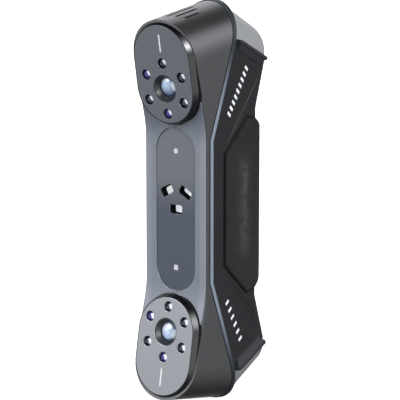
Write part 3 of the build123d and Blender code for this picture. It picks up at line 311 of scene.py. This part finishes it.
# ---------------------------------------------------------------- added pieces
PLATE_MOUNT = next(m for m in frame["record"]["mounts"] if m["name"] == "camera_plate_top")
TICK_OUT = 24.6                # mm from the lens to the tick line on each camera plate
TILT = math.asin(-PLATE_MOUNT["axis"][2])
GRIP_LO, GRIP_HI = (Vector(corner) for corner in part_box("rear_grip"))


def add_piece(name, verts, faces, material, slot, smooth=False):
    """A new visible piece that rides on the housing, vertices in millimetres."""
    mesh = bpy.data.meshes.new(name)
    mesh.from_pydata([tuple(c * MM for c in v) for v in verts], [], faces)
    mesh.update()
    if smooth:
        mesh.shade_smooth()
    mesh.materials.append(material)
    obj = bpy.data.objects.new(name, mesh)
    bpy.context.scene.collection.objects.link(obj)
    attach(obj, "housing")
    return obj


class Head:
    """Local frame of a camera plate: u across, v to the outer end, w out of the plate."""
    def __init__(self, side):
        self.side = side
        self.u = Vector((side, 0, 0))
        self.v = Vector((0, -math.sin(TILT), side * math.cos(TILT)))
        self.w = Vector((0, -math.cos(TILT), -side * math.sin(TILT)))
        tick = Vector(PLATE_MOUNT["pos_m"]) / MM
        self.origin = Vector((0, tick.y, side * tick.z)) - self.v * TICK_OUT

    def at(self, u, v, w=0.0):
        return self.origin + self.u * u + self.v * v + self.w * w


HEADS = {"top": Head(1), "bottom": Head(-1)}


def capsule(length, width, steps=6):
    """Outline of a round-ended bar along Y."""
    points = []
    for sign in (1, -1):
        for i in range(steps + 1):
            a = math.pi * i / steps
            points.append((sign * width / 2 * math.cos(a),
                           sign * ((length - width) / 2 + width / 2 * math.sin(a))))
    return points


def prism(outline, place, low, high):
    """Vertices and faces of an outline lifted between two levels; place maps (a, b, level) to a point."""
    n = len(outline)
    verts = [place(a, b, level) for level in (low, high) for a, b in outline]
    faces = [tuple(range(n - 1, -1, -1)), tuple(range(n, 2 * n))]
    faces += [(i, (i + 1) % n, n + (i + 1) % n, n + i) for i in range(n)]
    return verts, faces


def merge(parts):
    """Joins several (verts, faces) into one."""
    verts, faces = [], []
    for part_verts, part_faces in parts:
        faces += [tuple(i + len(verts) for i in face) for face in part_faces]
        verts += part_verts
    return verts, faces


INK_LOW, INK_HIGH = -0.05, 0.03    # printed marks, from just under the surface to just above it
TICK_L, TICK_W = 9.6, 0.85
for name, head in HEADS.items():
    tick = prism(capsule(TICK_L, TICK_W), lambda a, b, w, h=head: h.at(a, b + TICK_OUT, w), INK_LOW, INK_HIGH)
    add_piece(name + "_plate_tick", *tick, MATERIALS["mark_white"], "white_diffuser")

# ---------------------------------------------------------------- lamps
LED_RING, LED_R = 13.7, 2.68
LED_TOP, LED_BASE = -0.25, -2.1
DOME_RINGS, DOME_TURNS = 7, 24
GLINT = Vector((0.72, -0.66, 0.24))
GLINT_EDGE = (0.75, 0.94)
BLUE_LAMPS = {("top", 150), ("top", 270), ("bottom", 330), ("bottom", 90)}


def dome(place, radius, top, base, rings=DOME_RINGS, turns=DOME_TURNS):
    """A round lens: spherical cap standing on a short skirt, closed underneath."""
    verts, faces = [place(0, 0, top)], []
    for r in range(1, rings + 1):
        a = math.pi / 2 * r / rings
        for t in range(turns):
            b = 2 * math.pi * t / turns
            verts.append(place(radius * math.sin(a) * math.cos(b), radius * math.sin(a) * math.sin(b),
                               base + (top - base) * math.cos(a)))
    faces += [(0, 1 + t, 1 + (t + 1) % turns) for t in range(turns)]
    for r in range(rings - 1):
        for t in range(turns):
            i, j = 1 + r * turns + t, 1 + r * turns + (t + 1) % turns
            faces.append((i, i + turns, j + turns, j))
    last = 1 + (rings - 1) * turns
    faces.append(tuple(range(last + turns - 1, last - 1, -1)))
    return verts, faces


def glint_material(name, deep, bright):
    """Dark glass with a soft bright patch where a dome turns towards the softbox."""
    m, t, shader = new_material(name)
    turn = facing(t, node(t, "ShaderNodeNewGeometry").outputs["Normal"], GLINT)
    patch = ramp(t, math_node(t, "ADD", turn, math_node(t, "MULTIPLY", noise(t, 900), 0.05)), *GLINT_EDGE)
    link(t, mix_colour(t, patch, deep, bright), shader.inputs["Base Color"])
    link(t, mix_colour(t, patch, (0, 0, 0), scaled(bright, 0.5)), shader.inputs["Emission Color"])
    shader.inputs["Emission Strength"].default_value = 1.0
    shader.inputs["Roughness"].default_value = 0.08
    shader.inputs["Coat Weight"].default_value = 0.5
    return m


LAMPS = {"dark": glint_material("lamp_dark", (0.012, 0.012, 0.045), (0.85, 0.85, 0.97)),
         "blue": glint_material("lamp_blue", (0.030, 0.018, 0.22), (0.85, 0.85, 1.0))}


def lamp(head, turn):
    """One lamp dome on a plate, at an angle around the lens in degrees."""
    cu, cv = LED_RING * math.cos(math.radians(turn)), LED_RING * math.sin(math.radians(turn))
    return dome(lambda x, y, w: head.at(cu + x, cv + y, w), LED_R, LED_TOP, LED_BASE)


for name, head in HEADS.items():
    for kind, material in LAMPS.items():
        turns = [turn for turn in range(30, 390, 60) if ((name, turn) in BLUE_LAMPS) == (kind == "blue")]
        parts = [lamp(head, turn) for turn in turns]
        lamps = add_piece(f"{name}_lamps_{kind}", *merge(parts), material, "led_lens", smooth=True)
        if kind == "dark":
            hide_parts(f"{name}_led_lenses")

# ---------------------------------------------------------------- camera lenses
LENS_R = 5.3
LENS_RISE = 2.1
LENS_SUNK = 3.6                # base of the glass behind the plate
# distance from the axis in lens radii, colour; the bright rings are painted reflections
LENS_RINGS = ((0.0, (0.34, 0.45, 0.60)), (0.26, (0.24, 0.34, 0.50)), (0.31, (0.60, 0.72, 0.84)),
              (0.36, (0.18, 0.27, 0.42)), (0.58, (0.26, 0.36, 0.52)), (0.63, (0.62, 0.72, 0.84)),
              (0.68, (0.14, 0.22, 0.36)), (0.88, (0.05, 0.09, 0.18)), (1.0, (0.01, 0.02, 0.04)))
# normal, start and end of the patch, strength, colour: painted shade in deep blue on the lower side and two
# painted highlights
LENS_PATCHES = (((0.0, -0.55, -0.83), 0.55, 0.98, 0.9, (0.015, 0.03, 0.10)),
                ((-0.22, -0.85, 0.48), 0.94, 0.998, 0.4, (0.85, 0.92, 1.0)),
                ((0.62, -0.78, 0.05), 0.93, 0.995, 0.6, (0.88, 0.94, 1.0)))


def ring_colours(tree):
    """Colour of the lens by distance from its axis."""
    coords = node(tree, "ShaderNodeTexCoord")
    flat = node(tree, "ShaderNodeVectorMath", operation="MULTIPLY")
    flat.inputs[1].default_value = (1 / (LENS_R * MM), 1 / (LENS_R * MM), 0)
    length = node(tree, "ShaderNodeVectorMath", operation="LENGTH")
    link(tree, coords.outputs["Object"], flat.inputs[0])
    link(tree, flat.outputs[0], length.inputs[0])
    colours = node(tree, "ShaderNodeValToRGB")
    stops = colours.color_ramp.elements
    for position, _ in LENS_RINGS[1:-1]:
        stops.new(position)
    for stop, (_, colour) in zip(stops, LENS_RINGS):
        stop.color = (*colour, 1)
    link(tree, length.outputs["Value"], colours.inputs[0])
    return colours.outputs[0]


def lens_material():
    """Coated glass: pale blue centre, fine rings with painted reflections, darker edge, painted shade below
    and painted highlights, glowing though it is no lamp.
    """
    m, t, shader = new_material("lens_coated")
    shade = mix_colour(t, math_node(t, "MULTIPLY", noise(t, 500), 0.15), ring_colours(t), (0.9, 0.95, 1.0))
    normal = node(t, "ShaderNodeNewGeometry").outputs["Normal"]
    for toward, low, high, strength, colour in LENS_PATCHES:
        turn = facing(t, normal, Vector(toward))
        patch = ramp(t, math_node(t, "ADD", turn, math_node(t, "MULTIPLY", noise(t, 700), 0.06)), low, high)
        shade = mix_colour(t, math_node(t, "MULTIPLY", patch, strength), shade, colour)
    link(t, shade, shader.inputs["Base Color"])
    # painted light: the lens glows in its own painted colours, though it is no lamp
    link(t, shade, shader.inputs["Emission Color"])
    shader.inputs["Emission Strength"].default_value = 0.45
    shader.inputs["Metallic"].default_value = 0.35
    shader.inputs["Roughness"].default_value = 0.12
    shader.inputs["Coat Weight"].default_value = 1.0
    return m


LENS_COATED = lens_material()
for name, head in HEADS.items():
    verts, faces = dome(lambda x, y, w: Vector((x, y, w)), LENS_R, LENS_RISE, 0.0, rings=12, turns=48)
    mesh = bpy.data.meshes.new(name + "_lens")
    mesh.from_pydata([v * MM for v in verts], [], faces)
    mesh.shade_smooth()
    mesh.materials.append(LENS_COATED)
    lens = bpy.data.objects.new(name + "_lens", mesh)
    turn = Matrix((head.u, head.v, head.w)).transposed().to_4x4()
    lens.matrix_world = Matrix.Translation(head.at(0, 0, -LENS_SUNK) * MM) @ turn
    bpy.context.scene.collection.objects.link(lens)
    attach(lens, "housing")
    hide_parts(name + "_lens_glass")

# ---------------------------------------------------------------- knurled skin of the grip
KNURL_Z = 0.6                  # mm between knurl rows
KNURL_H = 0.32                 # height of a raised point
PAD_R = 12.6                   # the pad's rear corner radius
PAD_HALF = GRIP_HI.x / MM
PAD_FRONT, PAD_BACK = GRIP_LO.y / MM, GRIP_HI.y / MM
PAD_OUTLINE = ((0.0, 31.0), (20.0, 50.0), (35.0, 47.0), (37.3, 43.0), (38.5, 37.0))    # run, half height
FLAT = PAD_HALF - PAD_R
ARC = PAD_R * math.pi / 2
SIDE = PAD_BACK - PAD_R - PAD_FRONT
COLUMNS = round(FLAT + ARC + SIDE)
KNURL_S = (FLAT + ARC + SIDE) / COLUMNS
PANEL_LO, PANEL_HI = (Vector(corner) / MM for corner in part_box("control_panel"))
PANEL_HALF = (PANEL_HI.x - PANEL_LO.x) / 2


def pad_point(s):
    """Point and outward normal on the pad's plan outline, s mm from the middle of the back."""
    sign, r = (1 if s >= 0 else -1), abs(s)
    if r <= FLAT:
        return (s, PAD_BACK), (0, 1)
    if r <= FLAT + ARC:
        a = (r - FLAT) / PAD_R
        return ((sign * (FLAT + PAD_R * math.sin(a)), PAD_BACK - PAD_R + PAD_R * math.cos(a)),
                (sign * math.sin(a), math.cos(a)))
    return (sign * PAD_HALF, PAD_BACK - PAD_R - (r - FLAT - ARC)), (sign, 0)


def pad_limit(run):
    """Half height of the pad, run mm behind its front edge."""
    for (r0, h0), (r1, h1) in zip(PAD_OUTLINE, PAD_OUTLINE[1:]):
        if run <= r1:
            return h0 + (h1 - h0) * (run - r0) / (r1 - r0)
    return PAD_OUTLINE[-1][1]


def panel_room(x, y, z):
    """Distance outside the control panel's round-ended outline."""
    if y < PAD_BACK - 2:
        return 9.0
    past = max(PANEL_LO.z + PANEL_HALF - z, z - PANEL_HI.z + PANEL_HALF, 0)
    return math.hypot(x, past) - PANEL_HALF


def smooth01(v):
    v = min(max(v, 0.0), 1.0)
    return v * v * (3 - 2 * v)


ROWS = int(52 / KNURL_Z)
SKIN = 0.05                    # the skin lies this far over the pad's own face
SWELL, SWELL_RUN, SWELL_WIDTH = 0.75, 16.5, 5.0
PANEL_DEPTH = 0.8              # the skin dips this far under the control panel's face


def knurl_vertex(i, j):
    """Point of the skin and its relief from 0 to 1, which weights the painted highlight on the tips and is
    strongest along the swell, or None outside the pad; odd points are grooves.
    """
    s, z = i * KNURL_S, j * KNURL_Z
    (x, y), (nx, ny) = pad_point(s)
    run = y - PAD_FRONT
    end = (pad_limit(run) - abs(z)) * 0.75
    hole = panel_room(x, y, z)
    if (end < -1.5 and hole > 3.8) or hole < -1.3:
        return None
    sink = 1.2 + 0.3 * abs(nx) + 2.4 * ny             # from the pad's face down into the cover
    shape = smooth01(run / 1.1) * smooth01(end / (1.5 + 4.5 * ny))
    shape = max(shape, smooth01((3.6 - hole) / 2.4))      # collar around the control panel
    fade = smooth01((run - 0.8) / 1.2) * smooth01((end - 1.0) / 2.0) * smooth01((hole - 1.4) / 1.2)
    crest = math.exp(-((run - SWELL_RUN) / SWELL_WIDTH) ** 2) * smooth01((33 - abs(z)) / 12)
    peak = fade if (i + j) % 2 == 0 else 0.0
    lift = -sink + (sink + SKIN) * shape + SWELL * crest * fade + KNURL_H * peak
    if hole < 0.1:
        lift = -PANEL_DEPTH
    return (x + nx * lift, y + ny * lift, z), peak * (0.5 + 0.5 * crest)


def knurl_mesh():
    """Vertices, faces and relief of the skin: a grid split so that each raised point is a small pyramid."""
    verts, faces, relief, index = [], [], [], {}
    for i in range(-COLUMNS, COLUMNS + 1):
        for j in range(-ROWS, ROWS + 1):
            found = knurl_vertex(i, j)
            if found:
                index[i, j] = len(verts)
                verts.append(found[0])
                relief.append(found[1])
    for (i, j), a in index.items():
        if all(k in index for k in ((i + 1, j), (i + 1, j + 1), (i, j + 1))):
            b, c, d = index[i + 1, j], index[i + 1, j + 1], index[i, j + 1]
            faces += [(a, d, b), (b, d, c)] if (i + j) % 2 == 0 else [(a, c, b), (a, d, c)]
    return verts, faces, relief


def knurl_material():
    """Rubber with painted shade in the grooves and painted highlights on the diamond tips, strongest along
    the finger swell.
    """
    m = surface("grip_knurl_rubber", (0.014, 0.014, 0.015), 0.48, grain_bump=0.3, grain_depth=0.00003,
                edge_wear_and_highlight=0.0, specular=0.09)
    t = m.node_tree
    shader = t.nodes["Principled BSDF"]
    tip = node(t, "ShaderNodeAttribute", attribute_name="relief").outputs["Fac"]
    drift = math_node(t, "MULTIPLY", tip, math_node(t, "ADD", noise(t, 250), 0.5))
    side = math_node(t, "MULTIPLY", drift, 2.0, clamp=True)
    # painted shade in the grooves, painted highlight on the tips
    colour = mix_colour(t, side, (0.003, 0.003, 0.0035), (0.048, 0.049, 0.051))
    colour = mix_colour(t, ramp(t, drift, 0.5, 1.0), colour, (0.22, 0.222, 0.228))
    link(t, colour, shader.inputs["Base Color"])
    return m


knurl_verts, knurl_faces, knurl_relief = knurl_mesh()
knurl = add_piece("grip_knurl", knurl_verts, knurl_faces, knurl_material(), "grip_rubber")
knurl.data.attributes.new("relief", "FLOAT", "POINT").data.foreach_set("value", knurl_relief)
thickness = knurl.modifiers.new("thickness", "SOLIDIFY")
thickness.thickness = 0.35 * MM
thickness.offset = -1
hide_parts("rear_grip")

# ---------------------------------------------------------------- creases and plain marks on the sides
CORNER = 12.0                  # radius of the cover's rear corners
WAIST_HALF, HEAD_EXTRA = 21.1, 0.3     # half width of the cover at the waist, what the heads add
WIDEN_Z, WIDEN_RUN = 36.0, 25.6        # height where the cover begins to widen, and over what run
CREASE_ROOT = 0.25             # how deep a crease's edges sit in the cover
SEAT_FRONT = PAD_FRONT - 14.3  # the waist's front face
BACK_WAIST, BACK_HEAD = 49.8, 57.0     # depth of the cover's back behind that face, waist and heads
DIP_Z, FLARE_Z = 52.0, 75.1            # heights between which the back flares out


def side_x(depth, z):
    """Half width of the rear cover at a depth behind the waist's front face and a height."""
    half = WAIST_HALF + HEAD_EXTRA * min(max((abs(z) - WIDEN_Z) / WIDEN_RUN, 0), 1)
    back = BACK_WAIST + (BACK_HEAD - BACK_WAIST) * min(max((abs(z) - DIP_Z) / (FLARE_Z - DIP_Z), 0), 1)
    into = depth - (back - CORNER)
    if into <= 0:
        return half
    return half - CORNER + math.sqrt(max(CORNER ** 2 - into ** 2, 0))


def crease(start, end, sx, sz, width, height, steps=28):
    """A slim ridge over the cover between two (depth, height) points, tapering to nothing."""
    (d0, z0), (d1, z1) = start, end
    length = math.hypot(d1 - d0, z1 - z0)
    ad, az = -(z1 - z0) / length, (d1 - d0) / length
    verts, faces = [], []
    for k in range(steps + 1):
        f = k / steps
        taper = math.sin(math.pi * f) ** 0.6 + 0.02
        for across, lift in ((-1, -CREASE_ROOT), (0, height * taper), (1, -CREASE_ROOT)):
            d = d0 + (d1 - d0) * f + ad * across * width / 2
            z = z0 + (z1 - z0) * f + az * across * width / 2
            verts.append((sx * (side_x(d, z) + lift), SEAT_FRONT + d, sz * z))
        if k:
            a, b = 3 * (k - 1), 3 * k
            for m in range(3):
                faces.append((a + m, b + m, b + (m + 1) % 3, a + (m + 1) % 3))
    faces += [(0, 1, 2), (3 * steps + 2, 3 * steps + 1, 3 * steps)]
    return verts, faces


# start, end, width, height
CREASES = (((14.9, 32.2), (47.0, 72.0), 1.5, 0.35), ((19.0, 36.5), (46.5, 66.5), 0.7, 0.22),
           ((24.0, 42.5), (47.0, 62.0), 0.7, 0.22))
add_piece("side_creases", *merge([crease(a, b, sx, sz, w, h) for sx in (1, -1) for sz in (1, -1)
                                  for a, b, w, h in CREASES]),
          MATERIALS["cover_black"], "cover_black")

BAR_W, BAR_H, BAR_LEAN = 1.5, 3.0, 0.35
BAR_OUTLINE = [(-BAR_W / 2 - BAR_LEAN, -BAR_H / 2), (BAR_W / 2 - BAR_LEAN, -BAR_H / 2),
               (BAR_W / 2 + BAR_LEAN, BAR_H / 2), (-BAR_W / 2 + BAR_LEAN, BAR_H / 2)]


def side_bars(start, end, count, sz):
    """A row of plain slanted bars along a line on the flat of the cover's sides."""
    (d0, z0), (d1, z1) = start, end
    length = math.hypot(d1 - d0, z1 - z0)
    td, tz = (d1 - d0) / length, (z1 - z0) / length
    parts = []
    for sx in (1, -1):
        for k in range(count):
            f = (k + 0.5) / count
            cd, cz = d0 + (d1 - d0) * f, z0 + (z1 - z0) * f

            def place(a, b, lift, sx=sx, cd=cd, cz=cz):
                d, z = cd + td * a - tz * b, cz + tz * a + td * b
                return (sx * (side_x(d, z) + lift), SEAT_FRONT + d, sz * z)

            parts.append(prism(BAR_OUTLINE, place, INK_LOW, INK_HIGH))
    return parts


add_piece("side_marks", *merge(side_bars((18.2, 49.6), (34.6, 75.7), 9, 1)
                               + side_bars((16.8, 48.8), (30.3, 75.3), 6, -1)),
          MATERIALS["mark_white"], "white_diffuser")

# ---------------------------------------------------------------- floor, lights, camera
floor_mesh = bpy.data.meshes.new("floor")
FLOOR_HALF = 6.0
floor_z = cad_box[0][2]
FLOOR_CORNERS = ((-1, -1), (1, -1), (1, 1), (-1, 1))
floor_mesh.from_pydata([(sx * FLOOR_HALF, sy * FLOOR_HALF, floor_z) for sx, sy in FLOOR_CORNERS],
                       [], [(0, 1, 2, 3)])
floor = bpy.data.objects.new("floor", floor_mesh)
bpy.context.scene.collection.objects.link(floor)
floor_material, _, floor_shader = new_material("floor_pale")
floor_shader.inputs["Base Color"].default_value = (0.8, 0.8, 0.8, 1)
floor_shader.inputs["Roughness"].default_value = 0.9
floor_shader.inputs["Emission Color"].default_value = (1, 1, 1, 1)
floor_shader.inputs["Emission Strength"].default_value = 0.85
floor_mesh.materials.append(floor_material)
floor.visible_glossy = False
floor.visible_diffuse = False

world = bpy.data.worlds.new("studio")
bpy.context.scene.world = world
world.use_nodes = True
wt = world.node_tree
wt.nodes.clear()
direction = node(wt, "ShaderNodeTexCoord").outputs["Generated"]


def blob(toward, sharpness, gain):
    """A soft patch of light in the studio's surroundings."""
    away = math_node(wt, "SUBTRACT", facing(wt, direction, Vector(toward)), 1.0)
    lobe = math_node(wt, "EXPONENT", math_node(wt, "MULTIPLY", away, sharpness))
    return math_node(wt, "MULTIPLY", lobe, gain)


# direction, sharpness, gain: what each turned face of the scanner mirrors
BLOBS = [((-0.55, 0.68, 0.50), 9, 0.85), ((0.08, 0.60, 0.795), 15, -0.62), ((0.61, 0.67, 0.42), 20, 0.75),
         ((-0.1, 0.65, -0.75), 5, -0.26), ((-0.62, -0.62, -0.48), 8, 0.36), ((-0.62, -0.78, 0.15), 10, 0.75),
         ((0.15, -0.30, 0.94), 7, -0.28)]
# the same for mirrored light only, mostly seen in the gloss rims
RIM_BLOBS = [((-0.75, 0.10, 0.65), 8, -0.42), ((0.858, -0.302, 0.411), 70, 28.0),
             ((0.97, -0.16, -0.15), 14, 2.3), ((0.79, -0.05, 0.60), 32, 11.0)]
BASE_LEVEL, LEAST_LEVEL = 0.30, 0.01
paths = node(wt, "ShaderNodeLightPath")
level = BASE_LEVEL
for toward, sharpness, gain in BLOBS:
    level = math_node(wt, "ADD", blob(toward, sharpness, gain), level)
glossy = math_node(wt, "SUBTRACT", 1.0, paths.outputs["Is Diffuse Ray"])
for toward, sharpness, gain in RIM_BLOBS:
    mirrored = math_node(wt, "MULTIPLY", blob(toward, sharpness, gain), glossy)
    level = math_node(wt, "ADD", mirrored, level)
level = math_node(wt, "MAXIMUM", level, LEAST_LEVEL)
seen = node(wt, "ShaderNodeBackground", i_Color=(1, 1, 1, 1), i_Strength=1.0)
lit = node(wt, "ShaderNodeBackground", i_Color=(0.97, 0.985, 1, 1))
link(wt, level, lit.inputs["Strength"])
choose = node(wt, "ShaderNodeMixShader")
link(wt, paths.outputs["Is Camera Ray"], choose.inputs[0])
link(wt, lit.outputs[0], choose.inputs[1])
link(wt, seen.outputs[0], choose.inputs[2])
out = node(wt, "ShaderNodeOutputWorld")
link(wt, choose.outputs[0], out.inputs[0])


def aim(obj, place, target):
    """Puts a light or camera at a place, looking at a target."""
    obj.location = place
    obj.rotation_mode = "QUATERNION"
    obj.rotation_quaternion = (Vector(target) - Vector(place)).to_track_quat("-Z", "Y")
    bpy.context.scene.collection.objects.link(obj)


def softbox(name, place, size, power):
    """A rectangular studio light aimed at the origin."""
    data = bpy.data.lights.new(name, "AREA")
    data.shape = "RECTANGLE"
    data.size, data.size_y = size
    data.energy = power
    aim(bpy.data.objects.new(name, data), place, (0, 0, 0))


KEY_PLACE, SIDE_PLACE = (-0.9, -1.3, 0.9), (1.4, 0.5, 0.9)
softbox("key", KEY_PLACE, (0.8, 0.8), 16.0)
softbox("side", SIDE_PLACE, (0.4, 0.8), 3.0)

CAMERA_PLACE = (0.6535, -0.8029, 0.1912)
CAMERA_TARGET = (0.0096, -0.0129, 0.0050)
camera_data = bpy.data.cameras.new("camera")
camera_data.sensor_width, camera_data.lens = 36, 174.8
camera = bpy.data.objects.new("camera", camera_data)
aim(camera, CAMERA_PLACE, CAMERA_TARGET)
bpy.context.scene.camera = camera
bpy.context.scene.view_settings.view_transform = "Standard"
